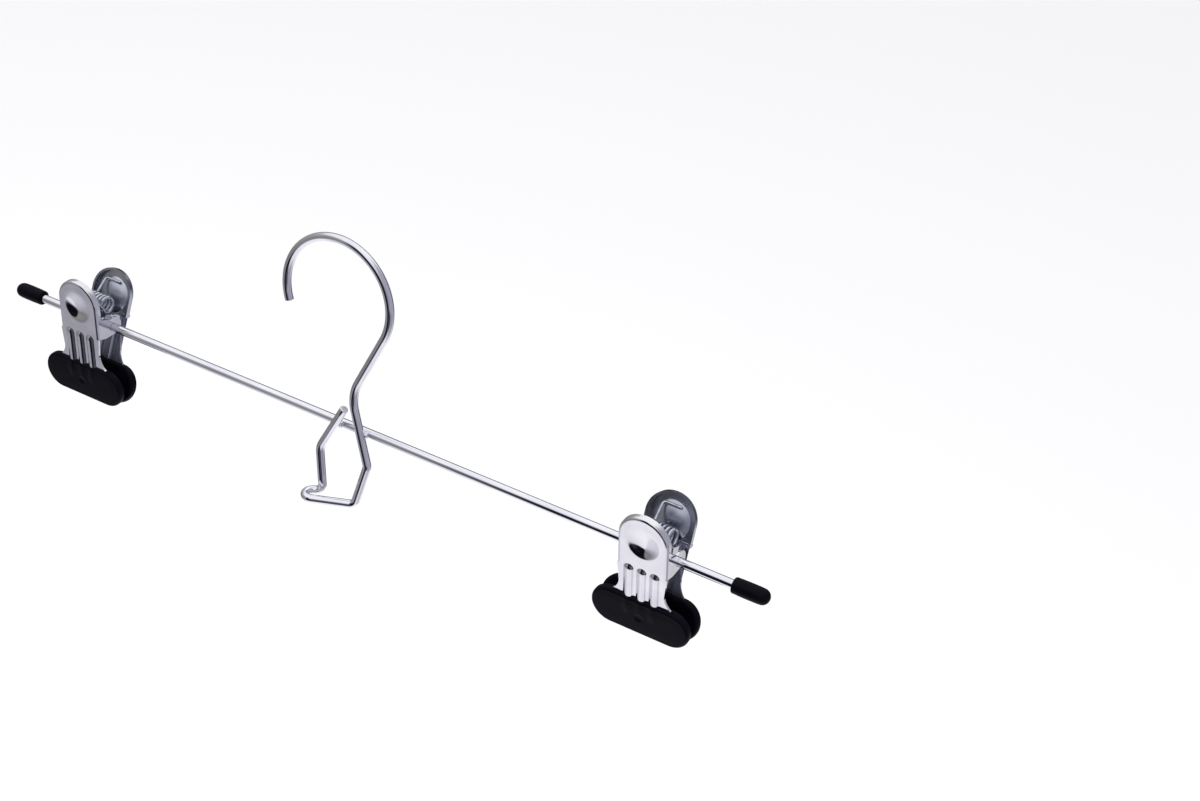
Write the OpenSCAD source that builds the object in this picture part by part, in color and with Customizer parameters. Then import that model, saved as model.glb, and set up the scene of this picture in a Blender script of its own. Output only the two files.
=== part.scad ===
// Metal skirt hanger: a straight rod with two sprung clips that slide on it,
// and one bent wire that is both the rail hook and the cascade loop below.
// X runs along the rod and Z is up. The pieces are drawn round the middle of the
// rod's axis, and then moved so that the origin is where the hook hangs: the top of
// the hook's inside, at the middle of the wire's width.

/* [Crossbar] */
// Overall length over the two end caps
overall_l = 350; // [260:1:450]
// Diameter of the rod
bar_d = 3.5; // [3:0.1:4.5]
// Length of an end cap
cap_l = 14; // [10:0.5:20]
// Outer diameter of an end cap
cap_d = 6.2; // [5.6:0.1:8]
// Thickness of the cap's closed end
cap_end_t = 2.2; // [1.4:0.1:4]
// Radius round the cap's closed end
cap_round_r = 2; // [0.8:0.1:2.4]

/* [Hook] */
// Diameter of the hook wire
wire_d = 3.3; // [2.6:0.1:4]
// Radius of the hook, to the middle of the wire
hook_r = 23.5; // [20:0.5:28]
// Height of the hook's centre above the rod
hook_z = 53.2; // [48:0.2:62]
// How far the hook's centre lies to the left of the rod's middle
hook_shift = 9.6; // [4:0.2:14]
// Angle at which the hook's tip ends, from the right, counterclockwise
hook_tip_deg = 200; // [185:1:215]
// Height of the bend in the neck above the rod
neck_z = 15.4; // [13:0.1:19]
// How far the bend in the neck lies to the left of the rod's middle
neck_shift = 1.5; // [0:0.1:3]
// Radius of the bend in the neck
neck_r = 17; // [10:0.5:19]

/* [Cascade loop] */
// Widest reach of the loop to the right of the rod's middle
loop_right = 7.5; // [5:0.1:9]
// Widest reach of the loop to the left of the rod's middle
loop_left = 15; // [12:0.1:19]
// Depth of the loop's widest place below the rod
loop_wide_z = 12.2; // [10:0.1:15]
// Depth of the loop's floor below the rod
loop_floor_z = 31.2; // [26:0.1:38]
// Width of the loop's floor, between the two lower corners
loop_floor_w = 15.2; // [13:0.1:19]
// How far the loop's left lower corner lies to the left of the rod's middle
loop_foot_left = 12.7; // [10:0.1:16]
// Clear width of the slot that takes the next hanger's hook
slot_w = 3.3; // [2.8:0.1:4.2]
// Length of the slot's short leg, from the loop's corner to the turn
slot_leg = 6.3; // [6:0.1:9]
// Radius of the bends at the loop's sides
side_bend_r = 4; // [3:0.1:6]
// Radius of the bends at the loop's floor
floor_bend_r = 2.8; // [2.2:0.1:2.9]
// Height of the wire's lower cut end above the rod
tail_z = 8.2; // [6:0.1:10]
// How far the lower cut end lies to the left of the rod's middle
tail_left = 4.5; // [3.5:0.1:6.5]
// Chamfer on the wire's two cut ends
wire_chamfer = 0.35; // [0.1:0.05:0.6]
// Radius of a weld bead
weld_r = 1.5; // [1:0.1:1.8]

/* [Clip leaf] */
// Distance from the hanger's right end to the middle of the right clip
right_clip_in = 45.5; // [34:0.5:90]
// Angle at which the right clip hangs, from plumb, in degrees
right_hang = -1; // [-30:0.5:30]
// Distance from the hanger's left end to the middle of the left clip
left_clip_in = 42; // [34:0.5:90]
// Angle at which the left clip hangs, from plumb, in degrees
left_hang = -6; // [-30:0.5:30]
// Lean of each leaf from upright while the jaws are closed, in degrees
lean = 11.5; // [8:0.1:14]
// Thickness of the sheet metal
sheet_t = 0.9; // [0.6:0.05:1.2]
// Inner radius where the sheet is bent
sheet_bend_in_r = 0.15; // [0.1:0.05:0.6]
// Width of a leaf
leaf_w = 20; // [18:0.2:24]
// Height of the centre of the leaf's round top above the rod
top_z = 11.4; // [10.4:0.1:14]
// Height of the centre of the thumb dish above the rod
dish_z = 10.4; // [9.6:0.1:12]
// Radius of the pressed thumb dish
dish_r = 7.1; // [6:0.1:7.4]
// Depth of the thumb dish
dish_depth = 2.3; // [1.4:0.1:2.5]
// Sharp step at the edge of the dish
dish_step = 0.1; // [0.05:0.05:0.2]
// Depth of the rim that is turned in round the top
rim_h = 2.6; // [2:0.1:3.2]
// Half width of the leaf at its narrowest place, above the jaw
waist_half_w = 9.2; // [8:0.1:9.8]

/* [Flutes] */
// Number of pressed flutes
flute_n = 3; // [1:1:3]
// Distance from one flute to the next
flute_pitch = 5.25; // [4.6:0.05:5.6]
// Depth of the flutes' top ends below the rod
flute_top_z = 1.4; // [1:0.1:4]
// How far a flute stands out of the sheet
flute_h = 0.85; // [0.4:0.05:0.9]
// Radius of the flute's round back
flute_r = 2.65; // [2.1:0.05:2.7]
// Length of the taper at a flute's top end
flute_taper = 2.2; // [1:0.1:3]

/* [Ears] */
// Radius of an ear's nose round the rod
ear_r = 4.4; // [3.8:0.1:5]
// Running clearance between the rod and an ear's bore, all round
ear_clear = 0.1; // [0.05:0.01:0.1]
// Height of the front ears' root on the leaf above the rod
ear_up = 7; // [6:0.1:9]
// Height above the rod of the shelf over each of the rear ears
shelf_z = 4.3; // [4:0.1:5]
// Depth of the ears' root on the leaf below the rod
ear_down = 2.2; // [1.5:0.1:2.8]
// How far the rear leaf's ears are set in from its sides
ear_inset = 3; // [2:0.1:3.6]

/* [Jaws and pads] */
// Width of a jaw plate inside its pad
jaw_w = 38.4; // [32:0.2:42]
// Height of a jaw plate
jaw_h = 14.4; // [12:0.1:15]
// Radius of the hollow corner between a leaf and its jaw
jaw_fillet_r = 7; // [4:0.1:7.5]
// Thickness of the pad's wall round the edge of the jaw
pad_edge_t = 0.8; // [0.7:0.1:2]
// Overall thickness of a pad
pad_t = 3.5; // [3:0.1:4.4]
// Radius round the edge of a pad
pad_round_r = 1.2; // [0.6:0.1:1.4]
// Depth of the pads' lower edge below the rod
pad_bottom_z = 32; // [30:0.1:36]
// Gap left between the two pads when the jaws are closed
jaw_gap = 0.3; // [0.2:0.05:0.5]
// Play between a jaw plate and the pocket of its pad
pocket_fit = 0.06; // [0.04:0.01:0.12]
// Radius of the small dent in the face of a pad
dent_r = 1.3; // [0.8:0.1:2]
// Depth of the small dent in the face of a pad
dent_depth = 0.35; // [0.1:0.05:0.5]

/* [Torsion spring] */
// Diameter of the spring wire
spring_d = 1.2; // [0.9:0.05:1.2]
// Radius of the coil, to the middle of its wire
coil_r = 2.95; // [2.8:0.05:3]
// Whole turns in the coil, besides the part turn between its legs
coil_turns = 6; // [4:1:6]
// Gap between one turn and the next
coil_gap = 0.5; // [0.45:0.05:0.6]
// Height of the coil's axis above the rod
coil_z = 8.6; // [8.6:0.1:9.4]
// How far the coil's middle lies to the right of the clip's
coil_shift = 1.5; // [0:0.1:1.6]
// Height at which the bent ends press on the leaves, above the rod
leg_z = 16.6; // [15:0.1:17.4]
// Length of each bent end, along the rod's direction
leg_end_l = 7.5; // [6:0.1:8]
// Radius of the bend at the end of each leg
leg_bend_r = 1.3; // [1:0.1:1.8]
// Gap between a bent end and the leaf it presses on
leg_clear = 0.15; // [0.1:0.05:0.4]

/* [Hidden] */

$fn = 64;
chrome = "#c9ccd2";
zinc = "#b3b7bf";
pvc = "#17171d";

// One overrun serves all cuts
cut = 1;

// Outer radius of a bend in the sheet
sheet_bend_r = sheet_t + sheet_bend_in_r;

// Distance from the rod's axis to the middle of a leaf's sheet, so that the
// lower edges of the two pads just meet when both leaves lean by the same angle
leaf_off = pad_t / 2 + jaw_gap / 2 / cos(lean) + pad_bottom_z * tan(lean);
outer_y = -leaf_off - sheet_t / 2;
inner_y = -leaf_off + sheet_t / 2;
jaw_mid_z = -(pad_bottom_z - pad_edge_t - jaw_h / 2);
jaw_end_x = jaw_w / 2 - jaw_h / 2;
// Centre of the hollow corner, where its arc touches the waist and the jaw's round end
hollow_x = waist_half_w + jaw_fillet_r;
hollow_z = jaw_mid_z + sqrt(pow(jaw_fillet_r + jaw_h / 2, 2) - pow(hollow_x - jaw_end_x, 2));
pad_w = jaw_w + 2 * pad_edge_t;
pad_h = jaw_h + 2 * pad_edge_t;
pad_end_x = pad_w / 2 - pad_h / 2;
dish_ball_r = (dish_r * dish_r + dish_depth * dish_depth) / (2 * dish_depth);

// Plane of the hook wire, which is welded to the near side of the rod
weld_clear = 0.02;
wire_y = -(bar_d + wire_d) / 2 - weld_clear;
wire_sides = 16;

function unit(v) = v / norm(v);
function turn_between(a, b) = acos(max(-1, min(1, a * b)));

// Slot of the loop: the floor runs off at an angle so that the turn of the
// slot brings the wire back to the loop's left corner
turn_r = (slot_w + wire_d) / 2;
slot_deg = asin(2 * turn_r / loop_floor_w);
slot_dir = [-cos(slot_deg), -sin(slot_deg), 0];
slot_side = [-sin(slot_deg), cos(slot_deg), 0];
floor_left = [-loop_foot_left, wire_y, -loop_floor_z];
floor_right = [-loop_foot_left + loop_floor_w, wire_y, -loop_floor_z];
turn_back = floor_left + slot_leg * slot_dir;
turn_front = turn_back - 2 * turn_r * slot_side;

// Hook: the neck runs up from its bend as a tangent to the hook's circle
neck_pt = [-neck_shift, wire_y, neck_z];
hook_mid = [-hook_shift, wire_y, hook_z];
seat = hook_mid + [0, 0, hook_r - wire_d / 2];
to_hook = hook_mid - neck_pt;
neck_deg = atan2(to_hook[2], to_hook[0]) - asin(hook_r / norm(to_hook));
neck_dir = [cos(neck_deg), 0, sin(neck_deg)];
hook_start = hook_mid + hook_r * [sin(neck_deg), 0, -cos(neck_deg)];
hook_sweep = hook_tip_deg + 90 - neck_deg;

// Corners of the wire from its lower cut end to the hook, and the radius at each
WIRE = [
    [[-tail_left, wire_y, tail_z], 0],
    [[-loop_left, wire_y, -loop_wide_z], side_bend_r],
    [floor_left, floor_bend_r],
    [turn_back, turn_r],
    [turn_front, turn_r],
    [floor_right, floor_bend_r],
    [[loop_right, wire_y, -loop_wide_z], side_bend_r],
    [neck_pt, neck_r],
    [hook_start, 0]
];
function wire_dir(i) = unit(WIRE[i + 1][0] - WIRE[i][0]);
function wire_turn(i) = turn_between(wire_dir(i - 1), wire_dir(i));

// Points round the bend at corner i, at most step degrees apart
function wire_bend(i, step) =
    let (
        h = wire_dir(i - 1),
        side = cross(unit(cross(h, wire_dir(i))), h),
        r = WIRE[i][1],
        deg = wire_turn(i),
        mid = WIRE[i][0] - r * tan(deg / 2) * h + r * side,
        steps = ceil(deg / step)
    )
    [for (k = [0 : steps]) mid + r * (sin(deg * k / steps) * h - cos(deg * k / steps) * side)];

// The wire's middle line: cut end, bends, hook, and the tip, with a ring at each
// end for the chamfer
tail_dir = wire_dir(0);
hook_steps = 32;
neck_corner = len(WIRE) - 2;
neck_step_deg = 8;
bend_step_deg = 16;
WIRE_LINE = concat(
    [WIRE[0][0] - wire_chamfer * tail_dir, WIRE[0][0]],
    [
        for (i = [1 : neck_corner])
            each wire_bend(i, i == neck_corner ? neck_step_deg : bend_step_deg)
    ],
    [
        for (k = [0 : hook_steps])
            let (a = neck_deg - 90 + hook_sweep * k / hook_steps)
            hook_mid + hook_r * [cos(a), 0, sin(a)]
    ],
    [hook_mid + hook_r * [cos(hook_tip_deg), 0, sin(hook_tip_deg)]
        + wire_chamfer * [-sin(hook_tip_deg), 0, cos(hook_tip_deg)]]
);

// Spring: where its legs leave the coil, and where their bent ends lie
bulge_at_leg = sqrt(pow(dish_ball_r + sheet_t, 2) - pow(leg_z - dish_z, 2))
    - dish_ball_r - sheet_t + dish_depth + dish_step;
leg_off = leaf_off - sheet_t / 2 - bulge_at_leg - leg_clear - spring_d / 2;
leg_y = leg_off * cos(lean) + leg_z * sin(lean);
leg_up = leg_z * cos(lean) - leg_off * sin(lean);
leg_reach = norm([leg_y, leg_up - coil_z]);
leg_rise = atan2(leg_up - coil_z, leg_y);
leg_side = acos(coil_r / leg_reach);
// Angle, from +Y towards +Z, where the rear leg leaves the coil
coil_end_deg = leg_rise - leg_side;
coil_start_deg = 180 - coil_end_deg;
coil_sweep = coil_turns * 360 + (coil_end_deg + 360 - coil_start_deg);
coil_pitch = spring_d + coil_gap;
coil_l = coil_pitch * coil_sweep / 360;
coil_rings = 8;
coil_steps = ceil(coil_sweep / 360 * coil_rings);
spring_sides = 6;
leg_bend_step_deg = 30;
// How far up a leg its first ring lies, as a share of the leg
leg_root_share = 0.3;

module rod(a, b, d) {
    v = b - a;
    translate(a)
        rotate([0, acos(v[2] / norm(v)), atan2(v[1], v[0])])
            cylinder(h = norm(v), d = d);
}

module crossbar() {
    bar_l = overall_l - 2 * cap_end_t;
    color(chrome)
        rotate([0, 90, 0])
            cylinder(h = bar_l, d = bar_d, center = true);
}

module end_cap() {
    r = cap_d / 2;
    color(pvc)
        translate([overall_l / 2 - cap_l, 0, 0])
            rotate([0, 90, 0])
                difference() {
                    rotate_extrude() {
                        square([r, cap_l - cap_round_r]);
                        square([r - cap_round_r, cap_l]);
                        translate([r - cap_round_r, cap_l - cap_round_r])
                            intersection() {
                                circle(cap_round_r);
                                square(cap_round_r);
                            }
                    }
                    translate([0, 0, -cut])
                        cylinder(h = cap_l - cap_end_t + cut, d = bar_d);
                }
}

module right_end_cap() {
    end_cap();
}

module left_end_cap() {
    mirror([1, 0, 0])
        end_cap();
}

module hook_wire() {
    color(chrome)
        tube(WIRE_LINE, wire_d, wire_sides, wire_chamfer);
}

// Where the straight between corners i and i + 1 passes the rod's height
function crossing(i) =
    let (a = WIRE[i][0], b = WIRE[i + 1][0])
    a + (b - a) * (a[2] / (a[2] - b[2]));

// A bead in the corner between the rod and the wire, on the wire's right side
module weld(i) {
    seat = crossing(i);
    h = wire_dir(i);
    color(zinc)
        difference() {
            translate([seat[0] + wire_d / 2, -bar_d / 2, 0])
                sphere(weld_r);
            rotate([0, 90, 0])
                cylinder(h = overall_l, d = bar_d, center = true);
            rod(seat - 2 * wire_d * h, seat + 2 * wire_d * h, wire_d);
        }
}

// The wire crosses the rod on its first straight and on the one below the neck
module neck_weld() {
    weld(neck_corner - 1);
}

module tail_weld() {
    weld(0);
}

// The jaw plate's outline in X and Z, with its neck up to the waist, grown by g
// for the pad's pocket
module jaw_outline(g) {
    translate([0, jaw_mid_z]) {
        square([2 * jaw_end_x, jaw_h + 2 * g], center = true);
        for (s = [-1, 1])
            translate([s * jaw_end_x, 0])
                circle(jaw_h / 2 + g);
    }
    difference() {
        polygon([
            [-jaw_end_x, jaw_mid_z], [jaw_end_x, jaw_mid_z], [hollow_x, hollow_z],
            [-hollow_x, hollow_z]
        ]);
        for (s = [-1, 1])
            translate([s * hollow_x, hollow_z])
                circle(jaw_fillet_r - g);
    }
}

// The flat part of a leaf in X and Z
module leaf_outline(ear_half) {
    bend_x = leaf_w / 2 - sheet_bend_r;
    ear_x = ear_half - sheet_bend_r;
    shelf_bend_z = shelf_z - sheet_t + sheet_bend_r;
    jaw_outline(0);
    translate([0, top_z])
        circle(bend_x);
    polygon([
        [-waist_half_w, hollow_z - cut], [waist_half_w, hollow_z - cut],
        [waist_half_w, hollow_z], [ear_half, -ear_down],
        [ear_x, -ear_down], [ear_x, shelf_bend_z],
        [bend_x, shelf_bend_z], [bend_x, top_z],
        [-bend_x, top_z], [-bend_x, shelf_bend_z],
        [-ear_x, shelf_bend_z], [-ear_x, -ear_down],
        [-ear_half, -ear_down], [-waist_half_w, hollow_z]
    ]);
}

// Cross-section of a turned-in edge: the bend, with its outer face at x = 0 and y = 0,
// the wall that runs in to the given depth, and a lap into the flat sheet
module edge_section(depth, lap) {
    r = sheet_bend_r;
    if (lap > 0)
        translate([-r - lap, 0])
            square([lap, sheet_t]);
    translate([-r, r])
        intersection() {
            difference() {
                circle(r);
                circle(r - sheet_t);
            }
            translate([0, -r])
                square(r);
        }
    translate([-sheet_t, r])
        square([sheet_t, depth - r]);
}

// Side view of an ear, in Y and Z
module ear_outline(up) {
    nose_y = -ear_r / 3;
    nose_z = sqrt(ear_r * ear_r - nose_y * nose_y);
    circle(ear_r);
    polygon([
        [outer_y - cut, -ear_down], [inner_y, -ear_down], [nose_y, -nose_z],
        [nose_y, nose_z], [inner_y, up], [outer_y - cut, up]
    ]);
}

// The turned-in edges on both sides, half_w from the middle
module sides(half_w, depth, from_z, to_z) {
    for (s = [-1, 1])
        mirror([s < 0 ? 1 : 0, 0, 0])
            translate([half_w, outer_y, from_z])
                linear_extrude(to_z - from_z)
                    edge_section(depth, sheet_t / 2);
}

module ears(half_w, up) {
    intersection() {
        sides(half_w, -outer_y + ear_r, -ear_down - cut, up + cut);
        rotate([90, 0, 90])
            linear_extrude(leaf_w + cut, center = true)
                ear_outline(up);
    }
}

// The rim that is turned in round the top and down the sides
module rim() {
    translate([0, outer_y, top_z])
        rotate([-90, 0, 0])
            rotate([0, 0, 180])
                rotate_extrude(angle = 180)
                    translate([leaf_w / 2, 0])
                        edge_section(rim_h, sheet_t / 2);
    sides(leaf_w / 2, rim_h, shelf_z - sheet_t, top_z);
}

// Where the ears are set in, the rim turns inwards as a shelf over each of them
module shelves(half_w) {
    shelf_l = leaf_w / 2 - half_w + sheet_t;
    for (s = [-1, 1])
        translate([s * (leaf_w / 2 - shelf_l / 2), outer_y, shelf_z - sheet_t])
            rotate([0, 90, 0])
                linear_extrude(shelf_l, center = true)
                    edge_section(rim_h, 0);
}

// The pressed thumb dish: hollow from outside, bulging inside
module dish() {
    lip = sheet_t / 2;
    ball_z = sheet_t - dish_step - dish_depth + dish_ball_r;
    translate([0, inner_y, dish_z])
        rotate([90, 0, 0])
            rotate_extrude()
                intersection() {
                    translate([0, ball_z])
                        difference() {
                            circle(dish_ball_r + sheet_t, $fn = 180);
                            circle(dish_ball_r, $fn = 180);
                        }
                    translate([0, -dish_depth - 2 * sheet_t])
                        square([dish_r + lip, dish_depth + 3 * sheet_t - dish_step / 3]);
                }
}

// One flute's round back of radius r; its top end tapers off into the sheet
module flute(i, r, bottom_z) {
    x = (i - (flute_n - 1) / 2) * flute_pitch;
    mid_y = outer_y - flute_h + flute_r;
    full_z = -flute_top_z - flute_taper;
    sink = sheet_t / 4;
    translate([x, mid_y, bottom_z]) {
        cylinder(h = full_z - bottom_z, r = r);
        translate([0, 0, full_z - bottom_z])
            cylinder(h = flute_taper, r1 = r, r2 = r - flute_h - sink);
    }
}

module leaf(half_w, ear_root_z) {
    flute_end_z = jaw_mid_z;
    hole_over = dish_step / 3;
    color(chrome)
        difference() {
            union() {
                difference() {
                    union() {
                        translate([0, inner_y, 0])
                            rotate([90, 0, 0])
                                linear_extrude(sheet_t)
                                    leaf_outline(half_w);
                        for (i = [0 : flute_n - 1])
                            intersection() {
                                flute(i, flute_r, flute_end_z);
                                translate([-leaf_w / 2, outer_y - flute_h - cut, flute_end_z])
                                    cube([leaf_w, flute_h + cut + sheet_t / 2, -flute_end_z]);
                            }
                    }
                    translate([0, inner_y + hole_over, dish_z])
                        rotate([90, 0, 0])
                            cylinder(h = sheet_t + hole_over + cut, r = dish_r);
                    for (i = [0 : flute_n - 1])
                        flute(i, flute_r - sheet_t, flute_end_z);
                }
                rim();
                dish();
                ears(half_w, ear_root_z);
                if (half_w < leaf_w / 2)
                    shelves(half_w);
            }
            rotate([0, 90, 0])
                cylinder(h = leaf_w + 2 * cut, r = bar_d / 2 + ear_clear, center = true);
        }
}

// Cross-section of a pad, with round edges
module pad_section() {
    h = pad_h - 2 * pad_round_r;
    t = pad_t - 2 * pad_round_r;
    square([pad_t, h], center = true);
    square([t, pad_h], center = true);
    for (a = [-1, 1])
        for (b = [-1, 1])
            translate([a * t / 2, b * h / 2])
                circle(pad_round_r);
}

module pad() {
    color(pvc)
        difference() {
            translate([0, -leaf_off, jaw_mid_z]) {
                rotate([90, 0, 90])
                    linear_extrude(2 * pad_end_x, center = true)
                        pad_section();
                for (s = [-1, 1])
                    translate([s * pad_end_x, 0, 0])
                        rotate([90, 0, 0])
                            rotate([0, 0, s * 90 - 180])
                                rotate_extrude(angle = 180)
                                    intersection() {
                                        rotate([0, 0, 90])
                                            pad_section();
                                        translate([0, -pad_t])
                                            square([pad_h, 2 * pad_t]);
                                    }
            }
            translate([0, inner_y + pocket_fit, 0])
                rotate([90, 0, 0])
                    linear_extrude(sheet_t + 2 * pocket_fit)
                        jaw_outline(pocket_fit);
            for (i = [0 : flute_n - 1])
                intersection() {
                    flute(i, flute_r + pocket_fit, jaw_mid_z - pocket_fit);
                    translate([-leaf_w / 2, outer_y - flute_h - cut, jaw_mid_z - pocket_fit])
                        cube([leaf_w, flute_h + cut + sheet_t / 2, -jaw_mid_z]);
                }
            translate([0, -leaf_off - pad_t / 2 + dent_depth, jaw_mid_z])
                rotate([90, 0, 0])
                    cylinder(h = dent_depth + cut, r = dent_r);
        }
}

// The spring's middle line, from the front bent end to the rear one
function on_coil(k) =
    let (a = coil_start_deg + coil_sweep * k / coil_steps)
    [coil_shift + coil_l / 2 - coil_l * k / coil_steps, coil_r * cos(a), coil_z + coil_r * sin(a)];

function leg_line(s) =
    let (
        x = coil_shift + s * coil_l / 2,
        y = -s * leg_y,
        edge = coil_start_deg,
        root = [x, s * coil_r * cos(edge), coil_z + coil_r * sin(edge)],
        tip = [x, y, leg_up],
        dir = unit(tip - root),
        turn = tip - leg_bend_r * dir,
        mid = turn - s * [leg_bend_r, 0, 0]
    )
    concat(
        [tip - s * [leg_end_l, 0, 0], tip - s * [leg_bend_r, 0, 0]],
        [
            for (a = [90 - leg_bend_step_deg : -leg_bend_step_deg : leg_bend_step_deg])
                mid + leg_bend_r * (s * cos(a) * [1, 0, 0] + sin(a) * dir)
        ],
        [turn, root + leg_root_share * (tip - root)]
    );

SPRING = concat(
    leg_line(1),
    [for (k = [0 : coil_steps]) on_coil(k)],
    reverse(leg_line(-1))
);
function reverse(v) = [for (i = [len(v) - 1 : -1 : 0]) v[i]];

// Least distance between points that lie more than half a turn apart
coil_self_gap = min([
    for (i = [0 : coil_steps - coil_rings])
        for (j = [i + ceil(coil_rings / 2) : coil_steps])
            norm(on_coil(i) - on_coil(j))
]) - spring_d;
echo(spring_least_gap_to_itself_mm = coil_self_gap);

function heading(v, i) =
    unit(v[min(i + 1, len(v) - 1)] - v[max(i - 1, 0)]);
function square_to(u, h) = unit(u - (u * h) * h);

// A tube along the points v; each ring's frame follows from the last, and the
// first and last rings are smaller by the chamfer
module tube(v, d, sides, chamfer) {
    n = len(v);
    ups = [
        for (i = 0, u = cross(heading(v, 0), [0, 1, 1]); i < n;
             i = i + 1, u = i < n ? square_to(u, heading(v, i)) : u) u
    ];
    pts = [
        for (i = [0 : n - 1])
            let (
                h = heading(v, i),
                u = square_to(ups[i], h),
                w = cross(h, u),
                r = i == 0 || i == n - 1 ? d / 2 - chamfer : d / 2
            )
            for (k = [0 : sides - 1])
                v[i] + r * (cos(k * 360 / sides) * u + sin(k * 360 / sides) * w)
    ];
    walls = [
        for (i = [0 : n - 2])
            for (k = [0 : sides - 1])
                let (a = i * sides + k, b = i * sides + (k + 1) % sides)
                each [[a, a + sides, b], [b, a + sides, b + sides]]
    ];
    last = (n - 1) * sides;
    ends = [
        for (k = [1 : sides - 2])
            each [[0, k, k + 1], [last, last + k + 1, last + k]]
    ];
    polyhedron(points = pts, faces = concat(walls, ends));
}

module spring() {
    color(zinc)
        tube(SPRING, spring_d, spring_sides, 0);
}

module front_leaf() {
    rotate([lean, 0, 0])
        leaf(leaf_w / 2, ear_up);
}

module front_pad() {
    rotate([lean, 0, 0])
        pad();
}

module rear_leaf() {
    rotate([-lean, 0, 0])
        mirror([0, 1, 0])
            leaf(leaf_w / 2 - ear_inset, shelf_z);
}

module rear_pad() {
    rotate([-lean, 0, 0])
        mirror([0, 1, 0])
            pad();
}

// Moves the origin from the middle of the rod's axis to the hook's seat
module hung() {
    translate(-seat)
        children();
}

module at_right() {
    hung()
        translate([overall_l / 2 - right_clip_in, 0, 0])
            rotate([right_hang, 0, 0])
                children();
}

module at_left() {
    hung()
        translate([left_clip_in - overall_l / 2, 0, 0])
            rotate([left_hang, 0, 0])
                children();
}

hung() crossbar();
hung() left_end_cap();
hung() right_end_cap();
hung() hook_wire();
hung() neck_weld();
hung() tail_weld();
at_right() spring();  // right_spring
at_right() front_leaf();  // right_front_leaf
at_right() front_pad();  // right_front_pad
at_right() rear_leaf();  // right_rear_leaf
at_right() rear_pad();  // right_rear_pad
at_left() spring();  // left_spring
at_left() front_leaf();  // left_front_leaf
at_left() front_pad();  // left_front_pad
at_left() rear_leaf();  // left_rear_leaf
at_left() rear_pad();  // left_rear_pad
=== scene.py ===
# Chromed skirt hanger, hanging free: rod, end caps, hook wire with its cascade
# loop, and two sprung clips. Lengths are in millimetres, and each mesh is turned to
# metres where it is made.
import math

import bmesh
import bpy
from mathutils import Matrix, Vector, noise


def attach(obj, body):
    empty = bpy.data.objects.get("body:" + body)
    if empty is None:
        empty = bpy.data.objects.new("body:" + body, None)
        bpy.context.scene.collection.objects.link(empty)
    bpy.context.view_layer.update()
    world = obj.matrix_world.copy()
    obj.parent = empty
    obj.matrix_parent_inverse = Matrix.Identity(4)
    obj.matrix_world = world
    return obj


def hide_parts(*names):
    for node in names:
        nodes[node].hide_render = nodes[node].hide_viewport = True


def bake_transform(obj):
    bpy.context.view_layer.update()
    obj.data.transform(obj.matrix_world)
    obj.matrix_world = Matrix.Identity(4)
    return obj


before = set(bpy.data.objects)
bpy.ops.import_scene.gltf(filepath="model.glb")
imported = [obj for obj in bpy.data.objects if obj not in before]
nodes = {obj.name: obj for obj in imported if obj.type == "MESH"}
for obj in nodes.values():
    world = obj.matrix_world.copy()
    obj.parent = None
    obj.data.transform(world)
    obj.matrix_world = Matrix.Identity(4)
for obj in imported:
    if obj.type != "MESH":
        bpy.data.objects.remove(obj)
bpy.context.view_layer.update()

# Camera
# It stands in front of the hanger's right end, above the rod and a little rolled,
# where the solved view of the photograph puts it.
MM = 0.001
PHOTO_WIDTH_PX = 1200
FOCAL_PX = 1939.8
SENSOR_MM = 36
view_place = Vector((381.5, -514.2, 297.9)) * MM
view_azimuth = math.radians(27.63)
view_elevation = math.radians(28.91)
view_roll = math.radians(6.79)

ahead = Vector((
    -math.sin(view_azimuth) * math.cos(view_elevation),
    math.cos(view_azimuth) * math.cos(view_elevation),
    -math.sin(view_elevation),
))
level_right = Vector((math.cos(view_azimuth), math.sin(view_azimuth), 0))
level_up = level_right.cross(ahead)
right = math.cos(view_roll) * level_right + math.sin(view_roll) * level_up
up = math.cos(view_roll) * level_up - math.sin(view_roll) * level_right

camera = bpy.data.objects.new("camera", bpy.data.cameras.new("camera"))
camera.data.sensor_width = SENSOR_MM
camera.data.lens = FOCAL_PX / PHOTO_WIDTH_PX * SENSOR_MM
camera.data.clip_start = 0.01
camera.matrix_world = Matrix.Translation(view_place) @ Matrix((right, up, -ahead)).transposed().to_4x4()
bpy.context.scene.collection.objects.link(camera)
bpy.context.scene.camera = camera
bpy.context.scene.view_settings.view_transform = "Standard"


def linear(hex_colour):
    """An sRGB hex colour as linear red, green, blue and alpha."""
    parts = [int(hex_colour[i:i + 2], 16) / 255 for i in (1, 3, 5)]
    return [p / 12.92 if p <= 0.04045 else ((p + 0.055) / 1.055) ** 2.4 for p in parts] + [1.0]


def add_node(tree, kind, settings=(), inputs=(), links=()):
    """Adds one node: its settings, the values of its inputs, and links into its inputs."""
    made = tree.nodes.new(kind)
    for name, value in settings:
        setattr(made, name, value)
    for name, value in inputs:
        made.inputs[name].default_value = value
    for name, socket in links:
        tree.links.new(socket, made.inputs[name])
    return made


def set_stops(ramp_node, stops):
    """Gives a colour ramp its stops, each a place from 0 to 1 and an sRGB hex colour."""
    ramp = ramp_node.color_ramp.elements
    ramp[0].position, ramp[0].color = stops[0][0], linear(stops[0][1])
    ramp[1].position, ramp[1].color = stops[-1][0], linear(stops[-1][1])
    for place, shade in stops[1:-1]:
        stop = ramp.new(place)
        stop.color = linear(shade)


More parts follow.
